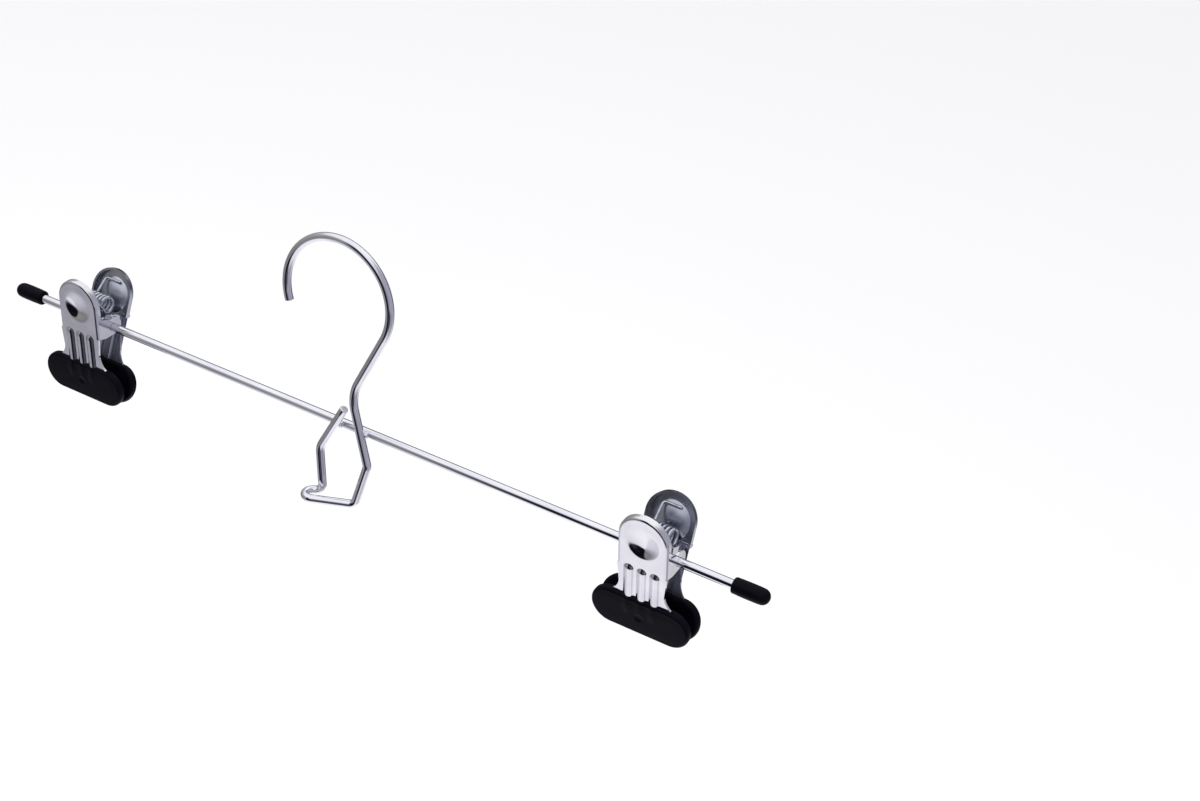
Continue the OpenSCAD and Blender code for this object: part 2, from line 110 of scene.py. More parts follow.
# Room and floor
# A light tent of white cloth, open towards the camera. The dark of the room shows
# through the opening, and draws the dark lines along bright chrome.
world = bpy.data.worlds.new("light_tent")
bpy.context.scene.world = world
world.use_nodes = True
sky = world.node_tree
sky.nodes.clear()
toward = add_node(sky, "ShaderNodeTexCoord")
drift = add_node(
    sky, "ShaderNodeTexNoise", inputs=[("Scale", 1.6), ("Detail", 2.0)],
    links=[("Vector", toward.outputs["Generated"])],
)
way = add_node(sky, "ShaderNodeSeparateXYZ", links=[("Vector", toward.outputs["Generated"])])
# How nearly a direction points at the tent's opening, swayed a little by folds of cloth
OPENING_WAY = (0.10, -0.97, -0.15)
FOLD_SWAY, FOLD_REST = 0.06, 0.47
facing = add_node(
    sky, "ShaderNodeVectorMath", [("operation", "DOT_PRODUCT")], [(1, OPENING_WAY)],
    [(0, toward.outputs["Generated"])],
)
folds = add_node(
    sky, "ShaderNodeMath", [("operation", "MULTIPLY_ADD")],
    [(1, FOLD_SWAY), (2, FOLD_REST)], [(0, drift.outputs["Fac"])],
)
# A cloth hangs across the upper right of the opening and half closes it
across_right = add_node(
    sky, "ShaderNodeMapRange", [("interpolation_type", "SMOOTHSTEP")],
    [("From Min", -0.22), ("From Max", 0.02), ("To Min", 0.0), ("To Max", 1.0)],
    [("Value", way.outputs["X"])],
)
high_up = add_node(
    sky, "ShaderNodeMapRange", [("interpolation_type", "SMOOTHSTEP")],
    [("From Min", -0.42), ("From Max", -0.25), ("To Min", 0.0), ("To Max", -0.19)],
    [("Value", way.outputs["Z"])],
)
less_open = add_node(
    sky, "ShaderNodeMath", [("operation", "MULTIPLY_ADD")], [],
    [(0, across_right.outputs[0]), (1, high_up.outputs[0]), (2, facing.outputs["Value"])],
)
# The floor's white paper lies along the opening's lower edge
paper_edge = add_node(
    sky, "ShaderNodeMapRange", [("interpolation_type", "SMOOTHSTEP")],
    [("From Min", -0.60), ("From Max", -0.75), ("To Min", 0.0), ("To Max", -0.12)],
    [("Value", way.outputs["Z"])],
)
opened = add_node(
    sky, "ShaderNodeMath", [("operation", "ADD")], [],
    [(0, less_open.outputs[0]), (1, paper_edge.outputs[0])],
)
opening = add_node(
    sky, "ShaderNodeMath", [("operation", "MULTIPLY_ADD")],
    [(1, 0.5)], [(0, opened.outputs[0]), (2, folds.outputs[0])],
)
cloth = add_node(sky, "ShaderNodeValToRGB", links=[("Fac", opening.outputs[0])])
set_stops(cloth, [
    (0.00, "#FFFFFF"), (0.60, "#FCFCFD"), (0.70, "#F6F6F9"), (0.79, "#EDECF2"), (0.83, "#D2D1DA"),
    (0.86, "#74747E"), (0.885, "#26262E"), (0.91, "#0E0E14"), (1.00, "#0A0A0F"),
])
# Right of the camera a grey flat stands in the opening
right_side = add_node(
    sky, "ShaderNodeMapRange", [("interpolation_type", "SMOOTHSTEP")],
    [("From Min", 0.04), ("From Max", 0.16), ("To Min", 0.0), ("To Max", 1.0)],
    [("Value", way.outputs["X"])],
)
flat = add_node(
    sky, "ShaderNodeMix", [("data_type", "RGBA"), ("blend_type", "LIGHTEN")], [(7, linear("#484852"))],
    [(0, right_side.outputs[0]), (6, cloth.outputs["Color"])],
)
# The side walls, far right, and the back of the tent are in half shade
far_right = add_node(
    sky, "ShaderNodeMapRange", [("interpolation_type", "SMOOTHSTEP")],
    [("From Min", 0.28), ("From Max", 0.72), ("To Min", 0.0), ("To Max", 1.0)],
    [("Value", way.outputs["X"])],
)
side_wall = add_node(
    sky, "ShaderNodeMix", [("data_type", "RGBA"), ("blend_type", "MULTIPLY")], [(7, linear("#A4A4B0"))],
    [(0, far_right.outputs[0]), (6, flat.outputs[2])],
)
behind = add_node(
    sky, "ShaderNodeMapRange", [("interpolation_type", "SMOOTHSTEP")],
    [("From Min", 0.70), ("From Max", 0.84), ("To Min", 0.0), ("To Max", 1.0)],
    [("Value", way.outputs["Y"])],
)
low_down = add_node(
    sky, "ShaderNodeMapRange", [("interpolation_type", "SMOOTHSTEP")],
    [("From Min", 0.55), ("From Max", 0.35), ("To Min", 0.0), ("To Max", 1.0)],
    [("Value", way.outputs["Z"])],
)
low_behind = add_node(
    sky, "ShaderNodeMath", [("operation", "MULTIPLY")], [],
    [(0, behind.outputs[0]), (1, low_down.outputs[0])],
)
# Left of the camera the tent's wall is grey up to above the eye
left_height = add_node(
    sky, "ShaderNodeMath", [("operation", "MULTIPLY_ADD")],
    [(1, 0.5)], [(0, way.outputs["Z"]), (2, folds.outputs[0])],
)
left_wall = add_node(sky, "ShaderNodeValToRGB", links=[("Fac", left_height.outputs[0])])
set_stops(left_wall, [
    (0.00, "#F0F0F4"), (0.12, "#D6D5DE"), (0.20, "#A8A8B0"), (0.30, "#7E7E80"), (0.50, "#8F8F8B"),
    (0.66, "#A2A2A5"), (0.74, "#B9B9C0"), (0.80, "#F8F8FA"), (1.00, "#FFFFFF"),
])
left_side = add_node(
    sky, "ShaderNodeMapRange", [("interpolation_type", "SMOOTHSTEP")],
    [("From Min", -0.42), ("From Max", -0.49), ("To Min", 0.0), ("To Max", 1.0)],
    [("Value", way.outputs["X"])],
)
room = add_node(
    sky, "ShaderNodeMix", [("data_type", "RGBA")], [],
    [(0, left_side.outputs[0]), (6, side_wall.outputs[2]), (7, left_wall.outputs["Color"])],
)
back_wall = add_node(
    sky, "ShaderNodeMix", [("data_type", "RGBA"), ("blend_type", "MULTIPLY")], [(7, linear("#565660"))],
    [(0, low_behind.outputs[0]), (6, room.outputs[2])],
)
tent = add_node(
    sky, "ShaderNodeBackground", inputs=[("Strength", 1.16)],
    links=[("Color", back_wall.outputs[2])],
)
# What a surface mirrors is the tent; all other light and the backdrop are plain white
plain = add_node(
    sky, "ShaderNodeBackground", inputs=[("Color", linear("#FFFFFF")), ("Strength", 0.95)],
)
ray = add_node(sky, "ShaderNodeLightPath")
seen = add_node(
    sky, "ShaderNodeMixShader",
    links=[(0, ray.outputs["Is Glossy Ray"]), (1, plain.outputs[0]), (2, tent.outputs[0])],
)
add_node(sky, "ShaderNodeOutputWorld", links=[("Surface", seen.outputs[0])])

# Floor, paper and lamp are set out in metres
FLOOR_HALF = 5.0
FLOOR_DROP = 0.42
LAMP_AIM = Vector((0, 0, -0.07))
floor_mesh = bpy.data.meshes.new("floor")
floor_mesh.from_pydata(
    [(x * FLOOR_HALF, y * FLOOR_HALF, -FLOOR_DROP) for x, y in ((-1, -1), (1, -1), (1, 1), (-1, 1))],
    [], [(0, 1, 2, 3)],
)
floor = bpy.data.objects.new("floor", floor_mesh)
bpy.context.scene.collection.objects.link(floor)
paper = bpy.data.materials.new("white_paper_sweep")
paper.use_nodes = True
paper.node_tree.nodes["Principled BSDF"].inputs["Base Color"].default_value = linear("#F8F8FA")
paper.node_tree.nodes["Principled BSDF"].inputs["Roughness"].default_value = 0.9
floor_mesh.materials.append(paper)
floor.visible_glossy = False

lamp = bpy.data.objects.new("softbox", bpy.data.lights.new("softbox", "AREA"))
lamp.data.size = 0.9
lamp.data.energy = 6.0
lamp.location = (-0.3, -0.5, 0.9)
lamp.rotation_euler = (LAMP_AIM - lamp.location).to_track_quat("-Z", "Y").to_euler()
lamp.visible_glossy = False
bpy.context.scene.collection.objects.link(lamp)

# Rod
# A straight length of drawn steel wire, 3.5 mm thick, nickel and bright chromium
# plated. The clips slide and swing on it, and the hook wire is welded to its near side.
OVERALL_L = 350
ROD_D = 3.5
ROD_CHAMFER = 0.3
WIRE_D = 3.3
HOOK_R = 23.5
HOOK_SHIFT, HOOK_Z = 9.6, 53.2
WIRE_GAP = 0.02
CAP_END_T = 2.2
# The sizes below are drawn round the middle of the rod; the model's zero is the hook's
# seat, the place inside its top that it hangs from
SEAT = Vector((-HOOK_SHIFT, -(ROD_D + WIRE_D) / 2 - WIRE_GAP, HOOK_Z + HOOK_R - WIRE_D / 2))
# How much rougher the plate is on faces that carry painted shade
SHADED_SIDE_ROUGHER = 0.20


def bright_plate(
    name, tints, roughness, haze_mm, grain_mm, grain_depth_mm, stretch=(1, 1, 1), shaded_side=None,
):
    """Bright plate on steel: a faintly blue mirror. Haze left by polishing comes in patches
    haze_mm wide, and a grain of lines or dimples grain_mm apart softens what it mirrors.
    Faces turned to the given side carry painted shade: a slate grey tint, and they are rougher as well."""
    made = bpy.data.materials.new(name)
    made.use_nodes = True
    tree = made.node_tree
    shader = tree.nodes["Principled BSDF"]
    shader.inputs["Metallic"].default_value = 1.0
    place = add_node(tree, "ShaderNodeTexCoord")
    haze = add_node(
        tree, "ShaderNodeTexNoise", inputs=[("Scale", 1 / (haze_mm * MM)), ("Detail", 4.0)],
        links=[("Vector", place.outputs["Object"])],
    )
    tint = add_node(tree, "ShaderNodeValToRGB", links=[("Fac", haze.outputs["Fac"])])
    set_stops(tint, [(0.3, tints[0]), (0.7, tints[1])])
    colour = tint.outputs["Color"]
    rough = add_node(
        tree, "ShaderNodeMapRange",
        inputs=[
            ("From Min", 0.3), ("From Max", 0.7),
            ("To Min", roughness[0]), ("To Max", roughness[1]),
        ],
        links=[("Value", haze.outputs["Fac"])],
    )
    dullness = rough.outputs[0]
    if shaded_side:
        # Painted shade: faces turned to the given side are tinted slate grey, and made rougher as well
        turned = add_node(
            tree, "ShaderNodeVectorMath", [("operation", "DOT_PRODUCT")], [(1, shaded_side)],
            [(0, place.outputs["Normal"])],
        )
        hollow = add_node(
            tree, "ShaderNodeMapRange", [("interpolation_type", "SMOOTHSTEP")],
            [("From Min", 0.35), ("From Max", 0.65)], [("Value", turned.outputs["Value"])],
        )
        shade_tint = add_node(tree, "ShaderNodeValToRGB", links=[("Fac", haze.outputs["Fac"])])
        set_stops(shade_tint, [(0.3, "#A5A8B5"), (0.7, "#C2C4CE")])
        colour = add_node(
            tree, "ShaderNodeMix", [("data_type", "RGBA")],
            links=[(0, hollow.outputs[0]), (6, colour), (7, shade_tint.outputs["Color"])],
        ).outputs[2]
        dullness = add_node(
            tree, "ShaderNodeMath", [("operation", "MULTIPLY_ADD")], [(1, SHADED_SIDE_ROUGHER)],
            [(0, hollow.outputs[0]), (2, dullness)],
        ).outputs[0]
    tree.links.new(colour, shader.inputs["Base Color"])
    tree.links.new(dullness, shader.inputs["Roughness"])
    along = add_node(
        tree, "ShaderNodeMapping", inputs=[("Scale", stretch)],
        links=[("Vector", place.outputs["Object"])],
    )
    grain = add_node(
        tree, "ShaderNodeTexNoise", inputs=[("Scale", 1 / (grain_mm * MM)), ("Detail", 2.0)],
        links=[("Vector", along.outputs["Vector"])],
    )
    bump = add_node(
        tree, "ShaderNodeBump", inputs=[("Strength", 1.0), ("Distance", grain_depth_mm * MM)],
        links=[("Height", grain.outputs["Fac"])],
    )
    tree.links.new(bump.outputs["Normal"], shader.inputs["Normal"])
    return made


# Drawn wire keeps faint lines from the die, 0.1 mm apart, drawn here 0.4 mm apart so
# that they show; they run forty times longer along the rod than across it
drawn_chrome = bright_plate(
    "bright_chromium_on_drawn_rod", ("#D9DAE2", "#EAEAF0"), (0.07, 0.14),
    haze_mm=22, grain_mm=0.4, grain_depth_mm=0.004, stretch=(0.025, 1, 1),
)
# Places on a line nearer than SAME_SPOT count as one; corners of a mesh nearer than
# MERGE_GAP are merged
SAME_SPOT = 0.001
MERGE_GAP = 0.0001


def make_piece(name, points, faces, material, place, sharp_deg=40):
    """A closed smooth mesh from points in millimetres, moved by place, with its normals out."""
    mesh = bpy.data.meshes.new(name)
    mesh.from_pydata([tuple((place @ Vector(p)) * MM) for p in points], [], faces)
    shape = bmesh.new()
    shape.from_mesh(mesh)
    bmesh.ops.remove_doubles(shape, verts=shape.verts, dist=MERGE_GAP * MM)
    bmesh.ops.recalc_face_normals(shape, faces=shape.faces)
    for face in shape.faces:
        face.smooth = True
    shape.to_mesh(mesh)
    shape.free()
    mesh.set_sharp_from_angle(angle=math.radians(sharp_deg))
    mesh.materials.append(material)
    piece = bpy.data.objects.new(name, mesh)
    bpy.context.scene.collection.objects.link(piece)
    return piece


def ring_faces(rings, sides):
    """The faces between rings of points that all have the same number of sides."""
    faces = []
    for i in range(rings - 1):
        for k in range(sides):
            a, b = i * sides + k, i * sides + (k + 1) % sides
            faces.append((a, b, b + sides, a + sides))
    return faces


def sweep(name, line, radii, sides, material, place):
    """A closed round wire along a line of points, with a radius for each point."""
    points = []
    count = len(line)
    side = (line[1] - line[0]).cross(Vector((0, 1, 1)))
    for i, spot in enumerate(line):
        heading = (line[min(i + 1, count - 1)] - line[max(i - 1, 0)]).normalized()
        side = (side - heading * side.dot(heading)).normalized()
        other = heading.cross(side)
        for k in range(sides):
            turn = 2 * math.pi * k / sides
            points.append(spot + radii[i] * (math.cos(turn) * side + math.sin(turn) * other))
    faces = ring_faces(count, sides)
    faces.append(tuple(range(sides)))
    faces.append(tuple(range((count - 1) * sides, count * sides)))
    return make_piece(name, points, faces, material, place)


hung = Matrix.Translation(-SEAT)
rod_end = OVERALL_L / 2 - CAP_END_T
ROD_RINGS, ROD_SIDES = 40, 64
rod_line = [Vector((-rod_end, 0, 0))]
rod_line += [
    Vector(((rod_end - ROD_CHAMFER) * (2 * k / ROD_RINGS - 1), 0, 0)) for k in range(ROD_RINGS + 1)
]
rod_line += [Vector((rod_end, 0, 0))]
rod_radii = [ROD_D / 2 - ROD_CHAMFER] + [ROD_D / 2] * (ROD_RINGS + 1) + [ROD_D / 2 - ROD_CHAMFER]
rod = sweep("crossbar_rod", rod_line, rod_radii, ROD_SIDES, drawn_chrome, hung)
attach(rod, "hanger")
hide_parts("crossbar")

# End caps
# Dip-moulded black vinyl caps, 14 mm long, pushed over the rod's ends. The mouth is
# rolled to a soft lip, and the closed end is a low dome.
CAP_L = 14
CAP_D = 6.2
CAP_LIP_R = 0.6
CAP_LIP_GAP = 0.05
CAP_DOME_R = 2.9
CAP_DOME_IN = 0.1
CAP_DOME_LEAD = 0.8
CAP_GRIP_DEPTH, CAP_GRIP_GAP = 2.0, 0.01
# The side swells a little behind the lip: depth in from the mouth, and how far short of
# the full radius it is there
CAP_SWELL = ((1.6, 0.09), (3.0, 0.03), (5.5, 0), (8.5, 0))

# Soft black PVC, almost black with a cool cast. Dipping leaves it satin with a fine
# skin grain, and handling leaves patches that are duller than the rest.
vinyl = bpy.data.materials.new("soft_black_vinyl")
vinyl.use_nodes = True
skin = vinyl.node_tree
skin_shader = skin.nodes["Principled BSDF"]
skin_shader.inputs["Specular IOR Level"].default_value = 0.06
skin_place = add_node(skin, "ShaderNodeTexCoord")
# Patches are about 6 mm wide: a scale of 165 to the metre
skin_patch = add_node(
    skin, "ShaderNodeTexNoise", inputs=[("Scale", 165.0), ("Detail", 3.0)],
    links=[("Vector", skin_place.outputs["Object"])],
)
skin_colour = add_node(skin, "ShaderNodeValToRGB", links=[("Fac", skin_patch.outputs["Fac"])])
set_stops(skin_colour, [(0.3, "#030309"), (0.75, "#070712")])
skin.links.new(skin_colour.outputs["Color"], skin_shader.inputs["Base Color"])
skin_rough = add_node(
    skin, "ShaderNodeMapRange",
    inputs=[("From Min", 0.3), ("From Max", 0.7), ("To Min", 0.36), ("To Max", 0.52)],
    links=[("Value", skin_patch.outputs["Fac"])],
)
skin.links.new(skin_rough.outputs[0], skin_shader.inputs["Roughness"])
# The skin's grain is 0.15 mm, drawn 0.4 mm wide so that it shows, a scale of 2500, and
# 0.04 mm deep
skin_grain = add_node(
    skin, "ShaderNodeTexNoise", inputs=[("Scale", 2500.0), ("Detail", 2.0)],
    links=[("Vector", skin_place.outputs["Object"])],
)
skin_bump = add_node(
    skin, "ShaderNodeBump", inputs=[("Strength", 0.5), ("Distance", 0.00004)],
    links=[("Height", skin_grain.outputs["Fac"])],
)
skin.links.new(skin_bump.outputs["Normal"], skin_shader.inputs["Normal"])

# Half profile: depth in from the mouth, and radius, from inside the lip to the dome
cap_profile = [(CAP_GRIP_DEPTH, ROD_D / 2 + CAP_GRIP_GAP)]
LIP_STEPS = 10
for k in range(LIP_STEPS + 1):
    turn = math.pi * k / LIP_STEPS
    cap_profile.append((
        CAP_LIP_R - CAP_LIP_R * math.sin(turn),
        ROD_D / 2 + CAP_LIP_GAP + CAP_LIP_R - CAP_LIP_R * math.cos(turn),
    ))
cap_profile += [(depth, CAP_D / 2 - short) for depth, short in CAP_SWELL]
cap_profile += [(CAP_L - CAP_DOME_R - CAP_DOME_LEAD, CAP_D / 2 - CAP_DOME_IN / 3)]
DOME_STEPS = 14
for k in range(DOME_STEPS + 1):
    turn = math.pi / 2 * k / DOME_STEPS
    cap_profile.append((
        CAP_L - CAP_DOME_R + CAP_DOME_R * math.sin(turn),
        CAP_D / 2 - CAP_DOME_IN - CAP_DOME_R + CAP_DOME_R * math.cos(turn),
    ))
CAP_SIDES = 64
cap_faces = ring_faces(len(cap_profile), CAP_SIDES)
cap_faces.append(tuple(range(CAP_SIDES)))
cap_faces.append(tuple((len(cap_profile) - 1) * CAP_SIDES + k for k in range(CAP_SIDES)))
for side_name, sign in (("left", -1), ("right", 1)):
    cap_points = [
        (
            sign * (OVERALL_L / 2 - CAP_L + depth),
            radius * math.cos(2 * math.pi * k / CAP_SIDES),
            radius * math.sin(2 * math.pi * k / CAP_SIDES),
        )
        for depth, radius in cap_profile for k in range(CAP_SIDES)
    ]
    cap = make_piece(f"{side_name}_vinyl_cap", cap_points, cap_faces, vinyl, hung, sharp_deg=60)
    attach(cap, "hanger")
    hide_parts(f"{side_name}_end_cap")

# Hook wire
# One length of 3.3 mm chromed wire: up from its cut end beside the rod, round the
# cascade loop with its hairpin slot, up the neck and round the hook to the tip.
LOOP_RIGHT, LOOP_LEFT, LOOP_WIDE_Z = 7.5, 15, 12.2
LOOP_FLOOR_Z, LOOP_FLOOR_W, LOOP_FOOT_LEFT = 31.2, 15.2, 12.7
SLOT_W, SLOT_LEG = 3.3, 6.3
NECK_Z, NECK_SHIFT, NECK_R = 15.4, 1.5, 17
HOOK_TIP_DEG = 200
TAIL_LEFT, TAIL_Z = 4.5, 8.2
LEFT_BEND_R, RIGHT_BEND_R, FLOOR_BEND_R = 8, 4, 2.8
WIRE_CHAMFER, WIRE_END_RINGS, WIRE_SIDES = 0.35, 4, 48
# Bending leaves the plate a little less even than the rod's, with dimples 0.9 mm apart
wire_chrome = bright_plate(
    "bright_chromium_on_bent_wire", ("#D6D6DE", "#EAEAF0"), (0.07, 0.13),
    haze_mm=14, grain_mm=0.9, grain_depth_mm=0.006,
)
slot_turn_r = (SLOT_W + WIRE_D) / 2
slot_turn = math.asin(2 * slot_turn_r / LOOP_FLOOR_W)
slot_way = Vector((-math.cos(slot_turn), -math.sin(slot_turn), 0))
slot_side = Vector((-math.sin(slot_turn), math.cos(slot_turn), 0))
floor_left = Vector((-LOOP_FOOT_LEFT, SEAT.y, -LOOP_FLOOR_Z))
turn_back = floor_left + SLOT_LEG * slot_way
neck = Vector((-NECK_SHIFT, SEAT.y, NECK_Z))
hook_mid = SEAT - Vector((0, 0, HOOK_R - WIRE_D / 2))
to_hook = hook_mid - neck
neck_turn = math.atan2(to_hook.z, to_hook.x) - math.asin(HOOK_R / to_hook.length)
corners = [
    (Vector((-TAIL_LEFT, SEAT.y, TAIL_Z)), 0),
    (Vector((-LOOP_LEFT, SEAT.y, -LOOP_WIDE_Z)), LEFT_BEND_R),
    (floor_left, FLOOR_BEND_R),
    (turn_back, slot_turn_r),
    (turn_back - 2 * slot_turn_r * slot_side, slot_turn_r),
    (floor_left + Vector((LOOP_FLOOR_W, 0, 0)), FLOOR_BEND_R),
    (Vector((LOOP_RIGHT, SEAT.y, -LOOP_WIDE_Z)), RIGHT_BEND_R),
    (neck, NECK_R),
    (hook_mid + HOOK_R * Vector((math.sin(neck_turn), 0, -math.cos(neck_turn))), 0),
]
BEND_STEP = math.radians(4)
bent = [corners[0][0]]
for before, (spot, bend_r), after in zip(corners, corners[1:], corners[2:]):
    way_in = (spot - before[0]).normalized()
    way_out = (after[0] - spot).normalized()
    bend = way_in.angle(way_out)
    inward = way_in.cross(way_out).normalized().cross(way_in)
    bend_mid = spot - bend_r * math.tan(bend / 2) * way_in + bend_r * inward
    steps = math.ceil(bend / BEND_STEP)
    for k in range(steps + 1):
        turn = bend * k / steps
        bent.append(bend_mid + bend_r * (math.sin(turn) * way_in - math.cos(turn) * inward))
hook_sweep = math.radians(HOOK_TIP_DEG + 90) - neck_turn
HOOK_STEPS = 120
for k in range(HOOK_STEPS + 1):
    turn = neck_turn - math.pi / 2 + hook_sweep * k / HOOK_STEPS
    bent.append(hook_mid + HOOK_R * Vector((math.cos(turn), 0, math.sin(turn))))
# Straights get rings of their own, so that the shading stays even along them
STRAIGHT_STEP = 3
wire_line = [bent[0]]
for spot in bent[1:]:
    start = wire_line[-1]
    gap = (spot - start).length
    if gap > SAME_SPOT:
        parts = max(1, round(gap / STRAIGHT_STEP))
        wire_line += [start.lerp(spot, k / parts) for k in range(1, parts + 1)]
wire_radii = [WIRE_D / 2] * len(wire_line)
# Both cut ends are tumbled: a small round runs from the side on to a flat face
tail_way = (wire_line[0] - wire_line[1]).normalized()
tip_way = (wire_line[-1] - wire_line[-2]).normalized()
tail_at, tip_at = wire_line[0], wire_line[-1]
for k in range(1, WIRE_END_RINGS + 1):
    turn = math.pi / 2 * k / WIRE_END_RINGS
    ahead_by = WIRE_CHAMFER * math.sin(turn)
    ring_r = WIRE_D / 2 - WIRE_CHAMFER * (1 - math.cos(turn))
    wire_line = [tail_at + ahead_by * tail_way] + wire_line + [tip_at + ahead_by * tip_way]
    wire_radii = [ring_r] + wire_radii + [ring_r]
hook_wire = sweep("bent_hook_wire", wire_line, wire_radii, WIRE_SIDES, wire_chrome, hung)
# The two flat ends were cropped, not drawn: the plate on them is grey and matt
cropped_end = bright_plate(
    "chromium_on_cropped_wire_end", ("#9C9BA8", "#B5B4C0"), (0.32, 0.45),
    haze_mm=1, grain_mm=0.3, grain_depth_mm=0.02,
)
hook_wire.data.materials.append(cropped_end)
# Only the end faces have a corner for each side of the wire
for polygon in hook_wire.data.polygons:
    if len(polygon.vertices) == WIRE_SIDES:
        polygon.material_index = 1
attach(hook_wire, "hanger")
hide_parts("hook_wire")

# Weld beads
# Two resistance-weld nuggets in the corner between wire and rod, on the wire's right,
# plated over with the rest: bright, lumpy, with the ripples of the squeezed metal.
WELD_R, BEAD_IN = 1.4, 0.05
# The lumps and the squeezed ripples, as shares of the bead's radius
LUMP_SHARE, LUMP_SCALE = 0.12, 1.7
RIPPLE_SHARE, RIPPLES = 0.025, 9
BEAD_RINGS, BEAD_SIDES = 20, 32
bead_chrome = bright_plate(
    "chromium_on_weld_bead", ("#CFD0D8", "#E6E6EC"), (0.10, 0.22),
    haze_mm=2, grain_mm=0.5, grain_depth_mm=0.03,
)
for bead_name, node_name, low, high in (
    ("neck_weld_bead", "neck_weld", corners[6][0], corners[7][0]),
    ("tail_weld_bead", "tail_weld", corners[1][0], corners[0][0]),
):
    crossing = low.lerp(high, -low.z / (high.z - low.z))
    bead_mid = Vector((crossing.x + WIRE_D / 2, -ROD_D / 2, 0))
    bead_points = []
    for i in range(BEAD_RINGS + 1):
        down = math.pi * i / BEAD_RINGS
        for k in range(BEAD_SIDES):
            turn = 2 * math.pi * k / BEAD_SIDES
            out = Vector((
                math.sin(down) * math.cos(turn), math.sin(down) * math.sin(turn), math.cos(down),
            ))
            lump = LUMP_SHARE * noise.noise(out * LUMP_SCALE + bead_mid)
            lump += RIPPLE_SHARE * math.cos(RIPPLES * down)
            bead_points.append(bead_mid + (WELD_R - BEAD_IN) * (1 + lump) * out)
    bead_faces = ring_faces(BEAD_RINGS + 1, BEAD_SIDES)
    bead = make_piece(bead_name, bead_points, bead_faces, bead_chrome, hung, sharp_deg=70)
    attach(bead, "hanger")
    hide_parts(node_name)

# Clip springs
# A torsion spring of 1.2 mm zinc plated music wire in each clip: a coil of six turns
# over the rod, and two legs whose bent ends press the leaves apart above the rod.
LEAN = math.radians(11.5)
SHEET_T, PAD_T, JAW_GAP, PAD_BOTTOM_Z = 0.9, 3.5, 0.3, 32
LEAF_OFF = PAD_T / 2 + JAW_GAP / 2 / math.cos(LEAN) + PAD_BOTTOM_Z * math.tan(LEAN)
DISH_Z, DISH_R, DISH_DEPTH, DISH_STEP = 10.4, 7.1, 2.3, 0.1
SPRING_D, COIL_R, COIL_TURNS, COIL_PITCH = 1.2, 2.95, 6, 1.7
COIL_Z, COIL_SHIFT = 8.6, 1.5
LEG_Z, LEG_END_L, LEG_BEND_R, LEG_CLEAR = 16.6, 7.5, 1.3, 0.15
LEG_STEPS, LEG_BEND_STEPS, LEG_END_STEPS = 10, 9, 6
SPRING_SIDES, SPRING_END_ROUND = 20, 0.12

# Zinc on music wire: greyer and duller than the chromium, and its grey is made darker
# still as painted shade for the spring inside the clip. It has cloudy spangles about 1.5 mm wide and
# fine die lines 0.2 mm apart
zinc_and_shade_on_spring = bright_plate(
    "zinc_plate_with_painted_shade_on_music_wire", ("#A6AAB6", "#CDD0DA"), (0.10, 0.20),
    haze_mm=1.5, grain_mm=0.2, grain_depth_mm=0.004,
)

ball_r = (DISH_R ** 2 + DISH_DEPTH ** 2) / (2 * DISH_DEPTH)
bulge = (
    math.sqrt((ball_r + SHEET_T) ** 2 - (LEG_Z - DISH_Z) ** 2)
    - ball_r - SHEET_T + DISH_DEPTH + DISH_STEP
)
leg_off = LEAF_OFF - SHEET_T / 2 - bulge - LEG_CLEAR - SPRING_D / 2
leg_y = leg_off * math.cos(LEAN) + LEG_Z * math.sin(LEAN)
leg_up = LEG_Z * math.cos(LEAN) - leg_off * math.sin(LEAN)
# Each leg leaves the coil as a tangent, which sets where the coil starts and ends
coil_end = math.atan2(leg_up - COIL_Z, leg_y) - math.acos(COIL_R / math.hypot(leg_y, leg_up - COIL_Z))
coil_start = math.pi - coil_end
coil_sweep = (COIL_TURNS + 1) * 2 * math.pi + coil_end - coil_start
coil_l = COIL_PITCH * coil_sweep / (2 * math.pi)
COIL_STEPS = 260
coil_line = [
    Vector((
        COIL_SHIFT + coil_l / 2 - coil_l * k / COIL_STEPS,
        COIL_R * math.cos(coil_start + coil_sweep * k / COIL_STEPS),
        COIL_Z + COIL_R * math.sin(coil_start + coil_sweep * k / COIL_STEPS),
    ))
    for k in range(COIL_STEPS + 1)
]


def leg_line(sign):
    """A leg from the coil to its cut end; sign is 1 for the front leg and -1 for the rear."""
    x = COIL_SHIFT + sign * coil_l / 2
    root = Vector((x, sign * COIL_R * math.cos(coil_start), COIL_Z + COIL_R * math.sin(coil_start)))
    tip = Vector((x, -sign * leg_y, leg_up))
    way_up = (tip - root).normalized()
    bend_at = tip - LEG_BEND_R * way_up
    bend_mid = bend_at - sign * Vector((LEG_BEND_R, 0, 0))
    line = [root.lerp(bend_at, k / LEG_STEPS) for k in range(LEG_STEPS + 1)]
    for k in range(1, LEG_BEND_STEPS + 1):
        turn = math.pi / 2 * k / LEG_BEND_STEPS
        across = sign * math.cos(turn) * Vector((1, 0, 0))
        line.append(bend_mid + LEG_BEND_R * (across + math.sin(turn) * way_up))
    end = tip - sign * Vector((LEG_END_L, 0, 0))
    bent_to = line[-1]
    line += [bent_to.lerp(end, k / LEG_END_STEPS) for k in range(1, LEG_END_STEPS + 1)]
    return line


# How far each clip is in from its end of the hanger, and its swing, foot to the front
RIGHT_CLIP_IN, LEFT_CLIP_IN = 45.5, 42
RIGHT_CLIP_SWING, LEFT_CLIP_SWING = math.radians(-1), math.radians(-6)
clip_places = {}
for side_name, clip_x, swing in (
    ("right", OVERALL_L / 2 - RIGHT_CLIP_IN, RIGHT_CLIP_SWING),
    ("left", LEFT_CLIP_IN - OVERALL_L / 2, LEFT_CLIP_SWING),
):
    along_rod = Matrix.Translation((clip_x, 0, 0))
    clip_places[side_name] = hung @ along_rod @ Matrix.Rotation(swing, 4, "X")

